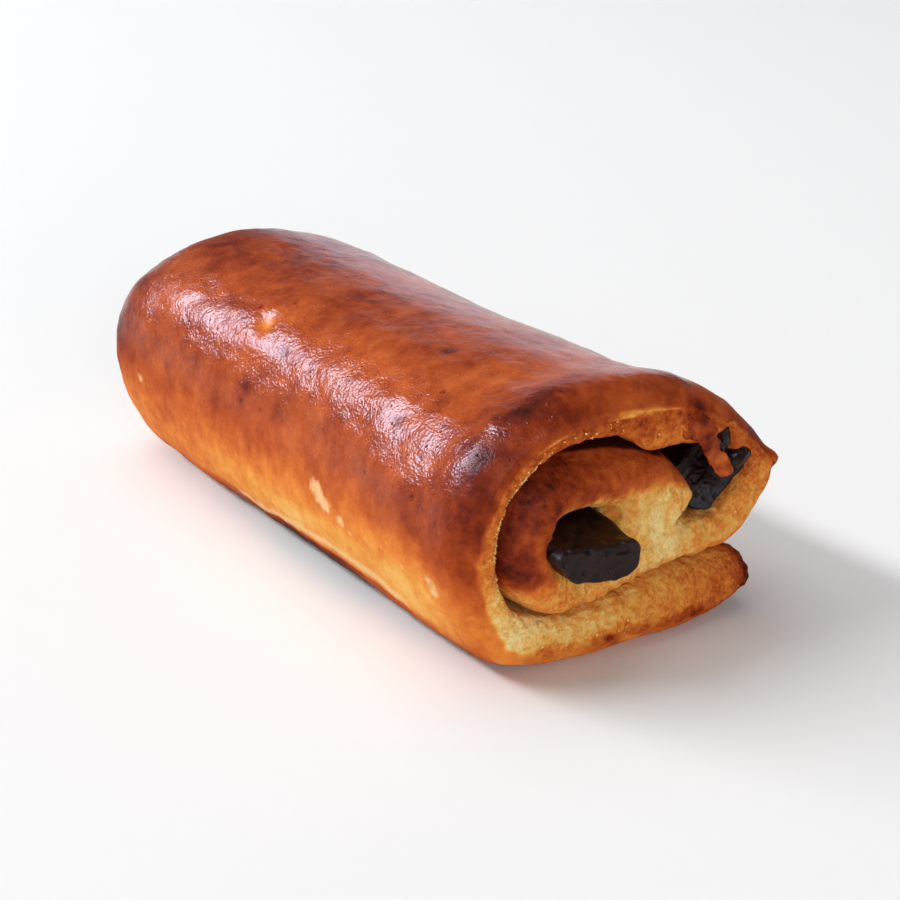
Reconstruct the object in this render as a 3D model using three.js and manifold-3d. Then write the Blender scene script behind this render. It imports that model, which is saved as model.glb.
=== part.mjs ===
// A pain au chocolat in gluten-free dough: one sheet of dough rolled round two bars of baking
// chocolate, browned in the oven and open at both ends, where the spiral and the bars show.
// Millimetres. +X runs along the roll to its better end, +Z is up, and it lies on z = 0.

import * as THREE from 'three';
import { mergeVertices } from 'three/addons/utils/BufferGeometryUtils.js';
import Module from 'manifold-3d';

const wasm = await Module();
wasm.setup();

// Driving dimensions of the dough
const FAR_REACH = 57;          // middle of the roll to the hidden end
const RIM_REACH = 55;          // middle of the roll to the rim at the near end
const FAR_CURL = 1.6;          // how much rounder the hidden end is
const FAR_UNEVENNESS = 0.5;    // share of the near end's unevenness that it has
const FAR_SINK = 0.01;         // share of its height that the hidden end has sunk
const FAR_TAPER = [0.03, 0.12]; // shares of its width and height that the tip there has lost
const FAR_TAPER_LENGTH = 22;
const MIDDLE = [2, 14];        // y and z that the hidden end tapers towards
const SKIN_CURL = 0.5;         // a curled edge drops this share of the length of its curl
const LIP_CURL = 0.8;          // the same for the edge on the inner side of the sheet
const MOST_DROP = 0.6;         // but no more than this share of the sheet's thickness
const MOST_RISE = 0.4;
const CORE_REACH = 42;         // the layers are baked into one up to here
const CORE_ROUND = [2, 1];
const FLOOR_CUT = [240, 240, 60]; // the block that flattens the base

// Relief of the crust near the ends
const RIDGE_AT = 50;           // the swollen ring behind the rim
const RIDGE_HEIGHT = 1.4;
const RIDGE_WIDTH = 6;
const VALLEY_AT = 0;           // the dip behind that ring
const VALLEY_DEPTH = 1.0;
const VALLEY_WIDTH = 28;
const RELIEF_FROM = 14;        // the relief fades in between these heights
const RELIEF_TO = 30;
const TORN_DEPTH = 0.35;       // how far the torn edge of the flap wanders
const TORN_PITCH = 19;
const TORN_SHARE = 0.6;        // a shorter wave on top of it, by its share of the height
const TORN_RATIO = 1.6;        // and how many times more often it comes
const TORN_FROM = [21, 27];    // it fades in between these places towards the tip
const TORN_UNDER = [8, 11];    // and out between these heights

// The rolled sheet: y and z of its middle, its thickness, how far its end reaches, and how long
// the end curls over on the outer side (curl) and on the inner side (lip)
const WRAP = [
  { at: [27.2, 4.8], thick: 2.6, reach: 56.0, curl: 2.0, lip: 2.0 },      // tip of the flap
  { at: [23.0, 5.3], thick: 8.2, reach: 57.2, curl: 4.5, lip: 4.0 },
  { at: [16.5, 5.0], thick: 10.2, reach: 57.7, curl: 5.5, lip: 5.0 },     // under the flap
  { at: [8.0, 5.0], thick: 10.4, reach: 57.6, curl: 6.0, lip: 4.5 },
  { at: [-1.0, 4.5], thick: 9.4, reach: 57.1, curl: 6.5, lip: 3.0 },
  { at: [-9.5, 4.1], thick: 8.7, reach: 56.0, curl: 7.5, lip: 2.0 },      // base
  { at: [-17.7, 6.2], thick: 9.0, reach: 55.2, curl: 8.0, lip: 1.2 },
  { at: [-22.5, 12.3], thick: 6.1, reach: 55.0, curl: 7.0, lip: 0.8 },    // left side
  { at: [-23.9, 20.0], thick: 4.7, reach: 55.0, curl: 7.5, lip: 0.7 },
  { at: [-22.7, 27.4], thick: 4.5, reach: 55.0, curl: 7.5, lip: 0.7 },
  { at: [-18.3, 33.6], thick: 4.7, reach: 55.0, curl: 7.5, lip: 0.7 },    // shoulder
  { at: [-10.6, 37.0], thick: 5.2, reach: 55.0, curl: 7.0, lip: 0.8 },
  { at: [-2.0, 37.4], thick: 5.8, reach: 55.2, curl: 6.5, lip: 1.0 },     // top
  { at: [6.0, 36.1], thick: 6.6, reach: 55.6, curl: 6.0, lip: 1.2 },
  { at: [13.0, 33.8], thick: 7.2, reach: 56.2, curl: 5.0, lip: 2.0 },
  { at: [21.0, 30.2], thick: 5.4, reach: 56.2, curl: 4.5, lip: 1.5 },
  { at: [27.6, 23.5], thick: 4.8, reach: 55.8, curl: 3.5, lip: 1.5 },     // right corner
  { at: [25.5, 18.0], thick: 6.6, reach: 56.2, curl: 4.0, lip: 2.0 },
  { at: [20.5, 13.8], thick: 6.0, reach: 56.2, curl: 4.0, lip: 2.0 },     // crease
  { at: [14.0, 14.4], thick: 3.6, reach: 55.6, curl: 4.0, lip: 1.5 },
];
const ROLL = [
  { at: [22.8, 15.8], thick: 3.6, reach: 55.6, curl: 4.0, lip: 1.5 },     // crease
  { at: [17.0, 13.9], thick: 6.2, reach: 56.2, curl: 4.0, lip: 2.0 },
  { at: [11.0, 14.2], thick: 6.4, reach: 56.2, curl: 4.0, lip: 2.0 },
  { at: [3.0, 13.6], thick: 7.0, reach: 56.2, curl: 4.0, lip: 2.0 },      // under the inner bar
  { at: [-4.0, 12.5], thick: 7.0, reach: 56.4, curl: 4.5, lip: 2.0 },
  { at: [-10.5, 12.6], thick: 7.6, reach: 56.8, curl: 5.5, lip: 2.0 },
  { at: [-15.6, 16.6], thick: 8.0, reach: 57.8, curl: 7.0, lip: 1.5 },    // turn at the left
  { at: [-17.2, 22.2], thick: 7.8, reach: 58.8, curl: 8.0, lip: 1.8 },
  { at: [-14.6, 27.2], thick: 7.8, reach: 58.0, curl: 8.5, lip: 3.5 },
  { at: [-8.0, 27.8], thick: 7.0, reach: 57.0, curl: 8.5, lip: 5.5 },     // over the inner bar
  { at: [0.0, 26.9], thick: 8.4, reach: 56.6, curl: 8.5, lip: 5.0 },
  { at: [5.8, 25.0], thick: 8.8, reach: 56.2, curl: 8.0, lip: 4.0 },
  { at: [9.6, 22.2], thick: 8.6, reach: 56.0, curl: 6.0, lip: 3.0 },
  { at: [12.0, 18.6], thick: 9.0, reach: 56.0, curl: 4.0, lip: 3.0 },     // inner end
];
const BAKED_FROM = 0.07;       // the core follows the wrap from this share of its length on

// The pad of crumb between the inner end of the sheet and the inner bar
const HEART = { at: [5.4, 18.6], half: [7.2, 6.6], reach: 56.0, round: [4.5, 3.2] };

// The two bars of baking chocolate: middle of the section, its width and height, its turn in
// degrees, and how wide and high each corner is cut, from the lower right one round
const INNER_BAR = {
  at: [-8.6, 20.0],
  size: [15.2, 6.2],
  turn: -7,
  cuts: [[3.4, 2.6], [1.0, 1.0], [1.0, 0.8], [3.8, 4.6]],
  near: 61.5,
  far: -57.5,
};
const OUTER_BAR = {
  at: [20.1, 23.0],
  size: [12.8, 6.4],
  turn: 40,
  cuts: [[1.4, 1.4], [1.4, 1.4], [1.4, 1.4], [1.4, 1.4]],
  near: 52.0,
  far: -50.0,
};
const BAR_END_ROUND = 0.5;
const BROKEN_SLOPE = 0.9;      // the outer bar's end is broken off at this slope
const BROKEN_FROM = 0.5;       // from this far above its middle downwards
const CLEARANCE = 0.3;         // gap between a bar and the dough round it
const TUNNEL_EXTRA = 1.5;
const TUNNEL_REACH = 66;

// The torn strip of dough that hangs in front of the outer bar
const STRIP_PATH = [[54.0, 11.6, 34.8], [56.6, 13.6, 32.6], [57.3, 17.2, 28.8], [57.0, 21.2, 24.0]];
const STRIP_WIDTH = [2.4, 3.2, 2.7, 1.2];
const STRIP_THICK = 1.7;

// Fineness of the meshes
const WRAP_STATIONS = 80;
const ROLL_STATIONS = 50;
const SKIN_STEPS = 20;
const INNER_STEPS = 4;
const CURL_STEPS = 6;
const OVAL_STEPS = 36;
const STRIP_STEPS = 12;
const STRIP_SIDES = 10;
const LENGTH_STEPS = 800;      // steps in which the length of the spiral is measured
const WELD = 1e-4;             // points closer than this are one

const crust = new THREE.MeshStandardMaterial({ color: 0x9a4f22, roughness: 0.35, metalness: 0 });
const chocolate = new THREE.MeshStandardMaterial({ color: 0x2b1c18, roughness: 0.4, metalness: 0 });

const { lerp, clamp, smoothstep, degToRad } = THREE.MathUtils;

// A smooth hump of height 1 round the middle, nearly gone at twice the width
function hump(x, middle, width) {
  return Math.exp(-(((x - middle) / width) ** 2));
}

// Angles from 0 to a quarter turn for a rounded edge
function quarterTurn() {
  return Array.from({ length: CURL_STEPS }, (_, i) => (i / (CURL_STEPS - 1)) * (Math.PI / 2));
}

// How far the crust stands out of the plain sheet: a swollen ring behind the rim and a dip behind it
function crustRelief(x, z) {
  const ring = RIDGE_HEIGHT * hump(x, RIDGE_AT, RIDGE_WIDTH);
  const dip = VALLEY_DEPTH * hump(x, VALLEY_AT, VALLEY_WIDTH);
  return smoothstep(z, RELIEF_FROM, RELIEF_TO) * (ring - dip);
}

// How far the torn edge of the flap wanders sideways, fading out away from its tip
function tornEdge(x, y, z) {
  const turns = (2 * Math.PI * x) / TORN_PITCH;
  const wave = Math.sin(turns) + TORN_SHARE * Math.sin(TORN_RATIO * turns);
  return TORN_DEPTH * smoothstep(y, ...TORN_FROM) * (1 - smoothstep(z, ...TORN_UNDER)) * wave;
}

// The hidden end of the sheet has sunk a little as it baked, and tapers to its tip
function settled([x, y, z]) {
  const far = clamp(-x / FAR_REACH, 0, 1);
  const tip = clamp((FAR_TAPER_LENGTH - FAR_REACH - x) / FAR_TAPER_LENGTH, 0, 1);
  const [side, height] = [y, z].map(
    (value, i) => MIDDLE[i] + (value - MIDDLE[i]) * (1 - FAR_TAPER[i] * tip * tip));
  return [x, side, height * (1 - FAR_SINK * far * far)];
}

// Stations evenly spaced along a stretch of the sheet, each with its outward normal
function sheetStations(stations, count) {
  const curveOf = (point) => new THREE.CatmullRomCurve3(stations.map(point), false, 'catmullrom', 0.5);
  const middle = curveOf((s) => new THREE.Vector3(0, s.at[0], s.at[1]));
  const measures = ['thick', 'reach', 'curl', 'lip'].map(
    (key) => [key, curveOf((s, i) => new THREE.Vector3(i, s[key], 0))]);
  middle.arcLengthDivisions = LENGTH_STEPS;
  return Array.from({ length: count }, (_, i) => {
    const t = middle.getUtoTmapping(i / (count - 1));
    const point = middle.getPoint(t);
    const tangent = middle.getTangent(t);
    const station = { y: point.y, z: point.z, normal: [-tangent.z, tangent.y] };
    for (const [key, curve] of measures) station[key] = curve.getPoint(t).y;
    return station;
  });
}

// One end of the sheet in section, from its outer skin round to its inner skin, as pairs of
// [distance from the middle of the roll, height over the middle of the sheet]
function endProfile({ thick, lip }, reach, curl) {
  const half = thick / 2;
  const drop = Math.min(SKIN_CURL * curl, MOST_DROP * thick);
  const rise = Math.min(LIP_CURL * lip, MOST_RISE * thick);
  const outer = quarterTurn().map(
    (angle) => [reach - curl * (1 - Math.sin(angle)), half - drop * (1 - Math.cos(angle))]);
  const inner = quarterTurn().map(
    (angle) => [reach - lip * (1 - Math.cos(angle)), rise * (1 - Math.sin(angle)) - half]);
  return [...outer, ...inner];
}

// Points between two ends of a straight stretch, without the ends
function between(from, to, steps) {
  return Array.from({ length: steps - 1 }, (_, i) => {
    const share = (i + 1) / steps;
    return [lerp(from[0], to[0], share), lerp(from[1], to[1], share)];
  });
}

// The whole closed outline of the sheet at one station, in its length and its thickness
function sheetOutline(station) {
  const near = endProfile(station, station.reach, station.curl);
  const farReach = FAR_REACH + FAR_UNEVENNESS * (station.reach - RIM_REACH);
  const far = endProfile(station, farReach, station.curl * FAR_CURL).map(([x, w]) => [-x, w]).reverse();
  const skin = between(far.at(-1), near[0], SKIN_STEPS);
  const inside = between(near.at(-1), far[0], INNER_STEPS);
  return [...skin, ...near, ...inside, ...far];
}

// Vertices and triangles as a solid, turned right side out if they came out inside out
function toSolid(positions, triangles) {
  const geometry = new THREE.BufferGeometry();
  geometry.setAttribute('position', new THREE.Float32BufferAttribute(positions, 3));
  geometry.setIndex(triangles);
  const merged = mergeVertices(geometry, WELD);
  const vertices = merged.getAttribute('position').array;
  const faces = Uint32Array.from(merged.getIndex().array);
  const corner = (i) => new THREE.Vector3().fromArray(vertices, faces[i] * 3);
  let volume = 0;
  for (let i = 0; i < faces.length; i += 3) {
    volume += corner(i).dot(corner(i + 1).cross(corner(i + 2)));
  }
  if (volume < 0) faces.reverse();
  return new wasm.Manifold(new wasm.Mesh({ numProp: 3, vertProperties: vertices, triVerts: faces }));
}

// A closed solid from equal rings of points, with a fan of triangles over each end ring
function ringsToSolid(rings) {
  const count = rings[0].length;
  const positions = rings.flat(2);
  const triangles = [];
  for (let i = 0; i + 1 < rings.length; i += 1) {
    for (let j = 0; j < count; j += 1) {
      const a = i * count + j;
      const b = i * count + ((j + 1) % count);
      triangles.push(a, b, b + count, a, b + count, a + count);
    }
  }
  for (const ring of [0, rings.length - 1]) {
    const centre = positions.length / 3;
    for (const axis of [0, 1, 2]) {
      positions.push(rings[ring].reduce((sum, point) => sum + point[axis], 0) / count);
    }
    for (let j = 0; j < count; j += 1) {
      const a = ring * count + j;
      const b = ring * count + ((j + 1) % count);
      triangles.push(centre, ring === 0 ? b : a, ring === 0 ? a : b);
    }
  }
  return toSolid(positions, triangles);
}

// A stretch of the rolled sheet: its outline carried along the spiral
function sheetSolid(stations, count) {
  const rings = sheetStations(stations, count).map(({ y, z, normal, ...station }) => (
    sheetOutline(station).map(([x, w]) => {
      const height = w > 0 ? w + crustRelief(x, z) : w;
      const side = y + normal[0] * height;
      return settled([x, side + tornEdge(x, side, z), z + normal[1] * height]);
    })));
  return ringsToSolid(rings);
}

// An outline in y and z carried along X between two ends, which round over by [length, inset].
// The near end can lean: lean says how far each point of it stands out.
function loftSolid(outline, far, near, [length, inset], lean = () => 0) {
  const middle = [0, 1].map((axis) => outline.reduce((sum, p) => sum + p[axis], 0) / outline.length);
  const ringAt = (x, shrink, leaning) => outline.map(([y, z]) => {
    const [dy, dz] = [y - middle[0], z - middle[1]];
    const scale = 1 - shrink / Math.hypot(dy, dz);
    return [x + leaning * lean(dy * scale, dz * scale), middle[0] + dy * scale, middle[1] + dz * scale];
  });
  const farRings = quarterTurn().map(
    (angle) => ringAt(far + length * (1 - Math.cos(angle)), inset * (1 - Math.sin(angle)), 0));
  const nearRings = quarterTurn().map(
    (angle) => ringAt(near - length * (1 - Math.cos(angle)), inset * (1 - Math.sin(angle)), 1));
  return ringsToSolid([...farRings, ...nearRings.reverse()]);
}

// A rectangle with its corners cut, grown all round and turned about its middle
function barOutline({ at, size, turn, cuts }, grow = 0) {
  const [w, h] = size.map((length) => length / 2 + grow);
  const corners = [[1, -1], [1, 1], [-1, 1], [-1, -1]];
  const points = corners.flatMap(([sy, sz], i) => {
    const flat = [sy * (w - cuts[i][0]), sz * h];
    const upright = [sy * w, sz * (h - cuts[i][1])];
    return sy * sz < 0 ? [flat, upright] : [upright, flat];
  });
  const [cos, sin] = [Math.cos(degToRad(turn)), Math.sin(degToRad(turn))];
  return points.map(([y, z]) => [at[0] + y * cos - z * sin, at[1] + y * sin + z * cos]);
}

// The outer bar broke off at a slant, its lower side standing out furthest
function brokenEnd(dy, dz) {
  const turn = degToRad(OUTER_BAR.turn);
  const lower = dy * Math.sin(turn) - dz * Math.cos(turn);
  return BROKEN_SLOPE * Math.max(0, lower + BROKEN_FROM);
}

function barSolid(bar, lean) {
  return loftSolid(barOutline(bar), bar.far, bar.near, [BAR_END_ROUND, BAR_END_ROUND], lean);
}

// The room that a bar takes in the dough: past its far end, and open at the near end of the roll
function barTunnel(bar) {
  const far = bar.far - TUNNEL_EXTRA;
  return loftSolid(barOutline(bar, CLEARANCE), far, TUNNEL_REACH, [BAR_END_ROUND, BAR_END_ROUND]);
}

// The thick inner end of the sheet, an oval pad that fills the roll between the bars
function heartSolid() {
  const outline = Array.from({ length: OVAL_STEPS }, (_, i) => {
    const angle = (i / OVAL_STEPS) * 2 * Math.PI;
    return [HEART.at[0] + HEART.half[0] * Math.cos(angle), HEART.at[1] + HEART.half[1] * Math.sin(angle)];
  });
  return loftSolid(outline, -FAR_REACH, HEART.reach, HEART.round);
}

// The middle of the roll, where the layers have baked into one
function coreSolid() {
  const outline = sheetStations(WRAP, WRAP_STATIONS)
    .slice(Math.round(BAKED_FROM * WRAP_STATIONS))
    .map(({ y, z }) => [y, z]);
  return loftSolid(outline, -CORE_REACH, CORE_REACH, CORE_ROUND);
}

// The torn strip of dough: an oval section carried along a curve, wide in the middle
function stripSolid() {
  const curve = new THREE.CatmullRomCurve3(STRIP_PATH.map((point) => new THREE.Vector3(...point)));
  const widths = new THREE.SplineCurve(STRIP_WIDTH.map((width, i) => new THREE.Vector2(i, width)));
  const frames = curve.computeFrenetFrames(STRIP_STEPS);
  const rings = frames.tangents.map((tangent, i) => {
    const centre = curve.getPointAt(i / STRIP_STEPS);
    const width = widths.getPoint(i / STRIP_STEPS).y;
    const across = new THREE.Vector3(0, tangent.z, -tangent.y).normalize();
    const out = new THREE.Vector3().crossVectors(tangent, across);
    return Array.from({ length: STRIP_SIDES }, (_, j) => {
      const angle = (j / STRIP_SIDES) * 2 * Math.PI;
      return centre.clone()
        .addScaledVector(across, (width / 2) * Math.cos(angle))
        .addScaledVector(out, (STRIP_THICK / 2) * Math.sin(angle))
        .toArray();
    });
  });
  return ringsToSolid(rings);
}

// Everything under the table, which flattens the base
function underFloor() {
  const box = new THREE.BoxGeometry(...FLOOR_CUT).translate(0, 0, -FLOOR_CUT[2] / 2);
  return toSolid(box.getAttribute('position').array, Array.from(box.getIndex().array));
}

// The dough in one piece: scraps that the cuts leave loose and hollows they seal are dropped
function doughSolid() {
  const pieces = sheetSolid(WRAP, WRAP_STATIONS)
    .add(sheetSolid(ROLL, ROLL_STATIONS))
    .add(heartSolid())
    .add(coreSolid())
    .subtract(barTunnel(INNER_BAR))
    .subtract(barTunnel(OUTER_BAR))
    .add(stripSolid())
    .subtract(underFloor())
    .decompose();
  return pieces.reduce((largest, piece) => (piece.volume() > largest.volume() ? piece : largest));
}

// A solid as a named mesh
function toMesh(name, solid, material) {
  const { vertProperties, triVerts } = solid.getMesh();
  const geometry = new THREE.BufferGeometry();
  geometry.setAttribute('position', new THREE.Float32BufferAttribute(vertProperties, 3));
  geometry.setIndex(Array.from(triVerts));
  geometry.computeVertexNormals();
  const mesh = new THREE.Mesh(geometry, material);
  mesh.name = name;
  return mesh;
}

// The pastry, moved so that the middle of its base is the origin
function painAuChocolat() {
  const group = new THREE.Group();
  group.add(toMesh('dough_roll', doughSolid(), crust));
  group.add(toMesh('chocolate_bar_inner', barSolid(INNER_BAR), chocolate));
  group.add(toMesh('chocolate_bar_outer', barSolid(OUTER_BAR, brokenEnd), chocolate));
  const box = new THREE.Box3().setFromObject(group);
  const middle = box.getCenter(new THREE.Vector3());
  for (const mesh of group.children) mesh.geometry.translate(-middle.x, -middle.y, -box.min.z);
  return group;
}

export default painAuChocolat();
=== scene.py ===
# %% [markdown]
# # A baked roll of dough round two bars of chocolate
# A sheet of gluten-free dough is rolled round two bars of baking chocolate, washed with egg and
# browned in the oven. The solids give its true size and place. This notebook makes the looks:
# the browned skin, the open ends with their crumb, and the chocolate that shows there.

# %% Load the solids
from itertools import product

import bpy
import numpy as np
from mathutils import Matrix, Vector


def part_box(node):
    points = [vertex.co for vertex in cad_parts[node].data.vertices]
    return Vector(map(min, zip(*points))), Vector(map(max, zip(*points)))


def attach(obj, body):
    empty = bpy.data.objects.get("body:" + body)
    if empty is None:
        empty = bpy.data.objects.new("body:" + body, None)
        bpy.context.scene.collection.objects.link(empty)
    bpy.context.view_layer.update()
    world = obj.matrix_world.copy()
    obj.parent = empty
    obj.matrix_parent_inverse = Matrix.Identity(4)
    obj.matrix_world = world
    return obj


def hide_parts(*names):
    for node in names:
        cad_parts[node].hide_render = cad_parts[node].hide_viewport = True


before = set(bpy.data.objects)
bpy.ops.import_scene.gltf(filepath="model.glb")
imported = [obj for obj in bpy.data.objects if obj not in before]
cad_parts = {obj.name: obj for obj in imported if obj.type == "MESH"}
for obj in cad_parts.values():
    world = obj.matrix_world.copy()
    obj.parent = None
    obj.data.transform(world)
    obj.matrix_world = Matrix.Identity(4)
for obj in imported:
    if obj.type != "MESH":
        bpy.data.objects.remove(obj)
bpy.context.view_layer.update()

print("nodes:", sorted(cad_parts))

# %% [markdown]
# ## The drawing
# The dough is one sheet, so it is drawn as one: a line of stations along the spiral, each with the
# middle of the sheet (y and z), its thickness, how far its near end reaches along the roll, and
# how long that end curls over outside (curl) and inside (lip). Millimetres, as in the solids. It
# could be sculpted, but a table of sizes can be read, checked and changed. The outer turn and the
# inner turn are separate lines, because they bake into separate skins.

# %% Stations of the sheet
MM = 0.001

OUTER_TURN = [
    # y, z, thickness, reach, curl, lip
    [27.0, 4.4, 4.0, 56.0, 2.0, 2.0],      # tip of the flap
    [23.0, 5.3, 8.2, 57.2, 4.5, 4.0],
    [16.5, 5.0, 10.2, 57.7, 5.5, 5.0],
    [8.0, 5.0, 10.4, 57.6, 6.0, 4.5],
    [-1.0, 4.5, 9.4, 57.1, 6.5, 3.0],
    [-9.5, 4.1, 8.7, 56.0, 7.5, 2.0],      # base
    [-17.7, 6.2, 9.0, 55.2, 8.0, 1.2],
    [-22.5, 12.3, 6.1, 55.0, 7.0, 0.8],    # left side
    [-23.9, 20.0, 4.7, 55.0, 7.5, 0.7],
    [-22.7, 27.4, 4.5, 55.0, 7.5, 0.7],
    [-18.3, 33.6, 4.7, 55.0, 7.5, 0.7],    # shoulder
    [-10.6, 37.0, 5.2, 55.0, 7.0, 0.8],
    [-2.0, 37.4, 5.8, 55.2, 6.5, 1.0],     # top
    [6.0, 36.1, 6.6, 55.6, 6.0, 1.2],
    [13.0, 33.8, 7.2, 56.2, 5.0, 2.0],
    [21.0, 30.2, 5.4, 56.2, 4.5, 1.5],
    [27.6, 23.5, 4.8, 55.8, 3.5, 1.5],     # right corner
    [25.5, 18.0, 6.6, 56.2, 4.0, 2.0],
    [20.5, 13.8, 6.0, 56.2, 4.0, 2.0],     # crease
    [14.0, 14.4, 3.6, 55.6, 4.0, 1.5],
]
INNER_TURN = [
    [22.8, 15.8, 3.6, 55.6, 4.0, 1.5],     # crease
    [17.0, 13.9, 6.2, 56.2, 4.0, 2.0],
    [11.0, 14.2, 6.4, 56.2, 4.0, 2.0],
    [3.0, 13.6, 7.0, 56.2, 4.0, 2.0],      # under the inner bar
    [-4.0, 12.5, 7.0, 56.4, 4.5, 2.0],
    [-10.5, 12.6, 7.6, 56.8, 5.5, 2.0],
    [-15.6, 16.6, 8.0, 57.8, 7.0, 1.5],    # turn at the left
    [-17.2, 22.2, 7.8, 58.8, 8.0, 1.8],
    [-14.6, 27.2, 7.8, 58.0, 8.5, 3.5],
    [-8.0, 27.8, 7.0, 57.0, 8.5, 5.5],     # over the inner bar
    [0.0, 26.9, 8.4, 56.6, 8.5, 5.0],
    [5.8, 25.0, 8.8, 56.2, 8.0, 4.0],
    [9.6, 22.2, 8.6, 56.0, 6.0, 3.0],
    [12.0, 18.6, 9.0, 56.0, 4.0, 3.0],     # inner end
]
print("stations:", len(OUTER_TURN), "outside and", len(INNER_TURN), "inside")

# %% Sections of the pad and the bars
# The pad of crumb at the inner end, and each bar: middle of the section, its width and height, its
# turn in degrees, how wide and high each corner is cut, and where it ends
HEART = {"at": (5.4, 18.6), "half": (7.2, 6.6), "near": 56.0, "far": -57.0, "round": (4.5, 3.2)}
INNER_BAR = {"at": (-8.6, 20.0), "size": (15.2, 6.2), "turn": -7.0,
             "cuts": [(3.4, 2.6), (1.0, 1.0), (1.0, 0.8), (3.8, 4.6)], "near": 61.5, "far": -57.5}
OUTER_BAR = {"at": (20.9, 22.5), "size": (12.8, 6.4), "turn": 40.0,
             "cuts": [(1.4, 1.4)] * 4, "near": 52.0, "far": -50.0}
RIM_REACH, FAR_REACH, CORE_REACH = 55.0, 57.0, 42.0


def bar_outline(bar, grow=0.0):
    """Section of a bar as (y, z) points: a rectangle with its corners cut, grown all round, and
    turned about its middle."""
    w, h = (length / 2 + grow for length in bar["size"])
    points = []
    for (sy, sz), (cy, cz) in zip([(1, -1), (1, 1), (-1, 1), (-1, -1)], bar["cuts"]):
        flat, upright = (sy * (w - cy), sz * h), (sy * w, sz * (h - cz))
        points += [flat, upright] if sy * sz < 0 else [upright, flat]
    turn = np.radians(bar["turn"])
    spin = np.array([[np.cos(turn), np.sin(turn)], [-np.sin(turn), np.cos(turn)]])
    return np.array(points) @ spin + bar["at"]


# The drawing's origin lies a little beside the frame's: the inner bar shows by how much
bar_corner = np.array(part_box("chocolate_bar_inner")[1]) / MM
ORIGIN = np.array([INNER_BAR["near"] - bar_corner[0],
                   bar_outline(INNER_BAR)[:, 0].max() - bar_corner[1], 0.0])
print("the frame's origin in the drawing, mm:", ORIGIN.round(2))

# %% [markdown]
# ## Tools for surfaces
# A surface here is a grid of points worked out at once by numpy. A loop over the points would say
# the same, hundreds of times slower. Three helpers carry it: a smooth curve through stations, a
# gradient noise for everything that is uneven, and fades that keep each thing to its place.

# %% Curves and fades
def smoothstep(low, high, value):
    """0 below low, 1 above high, and 3t^2 - 2t^3 between, with t the share of the way."""
    t = np.clip((value - low) / (high - low), 0, 1)
    return t * t * (3 - 2 * t)


def hump(value, middle, width):
    """exp(-((value - middle) / width)^2): 1 in the middle and nearly gone at twice the width."""
    return np.exp(-(((value - middle) / width) ** 2))


def through(rows, at):
    """Points on the curve through the rows, at places counted in rows. Between two rows it is the
    cubic whose slope at a row is half the step between that row's neighbours."""
    rows = np.asarray(rows, float)
    ends = np.vstack([2 * rows[0] - rows[1], rows, 2 * rows[-1] - rows[-2]])
    i = np.clip(np.floor(at).astype(int), 0, len(rows) - 2)
    f = (at - i)[:, None]
    a, b, c, d = ends[i], ends[i + 1], ends[i + 2], ends[i + 3]
    return b + f / 2 * (c - a + f * (2 * a - 5 * b + 4 * c - d + f * (3 * b - a - 3 * c + d)))


print("half way up a fade:", smoothstep(0, 10, 5))


# %% Noise
def noise(points, pitch, seed, stretch=(1, 1, 1)):
    """Gradient noise between about -1 and 1, whose lumps are pitch millimetres apart: at each
    corner of a cube lattice a random direction is dotted with the way to the point, and the eight
    results are blended by 6t^5 - 15t^4 + 10t^3 along each axis."""
    rng = np.random.default_rng(seed)
    directions = rng.normal(size=(256, 3))
    directions /= np.linalg.norm(directions, axis=1, keepdims=True)
    shuffle = rng.permutation(256)
    place = points / (pitch * np.array(stretch)) + rng.uniform(0, 64, 3)
    cell = np.floor(place).astype(int)
    f = place - cell
    fade = f * f * f * (f * (6 * f - 15) + 10)
    total = np.zeros(points.shape[:-1])
    for corner in product((0, 1), repeat=3):
        index = np.zeros(points.shape[:-1], int)
        for axis in range(3):
            index = shuffle[(index + cell[..., axis] + corner[axis]) & 255]
        weight = np.prod(np.where(corner, fade, 1 - fade), axis=-1)
        total += weight * np.sum(directions[index] * (f - corner), axis=-1)
    return 1.7 * total


def waves(points, *rows):
    """A sum of noises: each row gives a height, a pitch in millimetres, a seed and maybe a stretch."""
    return sum(height * noise(points, *rest) for height, *rest in rows)


print("noise at one point:", noise(np.array([[1.0, 2.0, 3.0]]), 5, 1).round(3))

# %% [markdown]
# ## From a grid to a mesh
# Each square between four neighbours of a grid is a face. All shapes here close on themselves one
# way, like a tube, and the two open rings at their ends get a face each, so that every mesh is
# closed. The faces come from index arithmetic, not from a search for neighbours.

# %% Faces and normals of a grid
def grid_faces(rows, columns, first=0):
    """Quads between neighbours of a grid whose columns close round on themselves."""
    i = first + np.arange(rows - 1)[:, None] * columns
    j, k = np.arange(columns), (np.arange(columns) + 1) % columns
    return np.stack([i + j, i + k, i + columns + k, i + columns + j], -1).reshape(-1, 4)


def capped(grid):
    """A grid's points and faces, with one face over its first ring and one over its last."""
    rows, columns = grid.shape[:2]
    last = (rows - 1) * columns
    caps = [list(range(columns))[::-1], list(range(last, last + columns))]
    return grid.reshape(-1, 3), grid_faces(rows, columns).tolist() + caps


def outward(grid):
    """Unit normals of a grid with closed columns, on the side to which its faces look."""
    along = np.gradient(grid, axis=0)
    around = np.roll(grid, -1, 1) - np.roll(grid, 1, 1)
    normal = np.cross(around, along)
    return normal / np.maximum(np.linalg.norm(normal, axis=-1, keepdims=True), 1e-9)


print("3 rings of 4 points have", len(grid_faces(3, 4)), "faces")


# %% A mesh object
def mesh_object(name, points, faces):
    """A smooth mesh object from points in drawing millimetres."""
    mesh = bpy.data.meshes.new(name)
    mesh.from_pydata((points - ORIGIN) * MM, [], faces)
    mesh.shade_smooth()
    mesh.update()
    piece = bpy.data.objects.new(name, mesh)
    bpy.context.scene.collection.objects.link(piece)
    return piece


print("a mesh counts in metres, so 1 mm is", MM)

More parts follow.
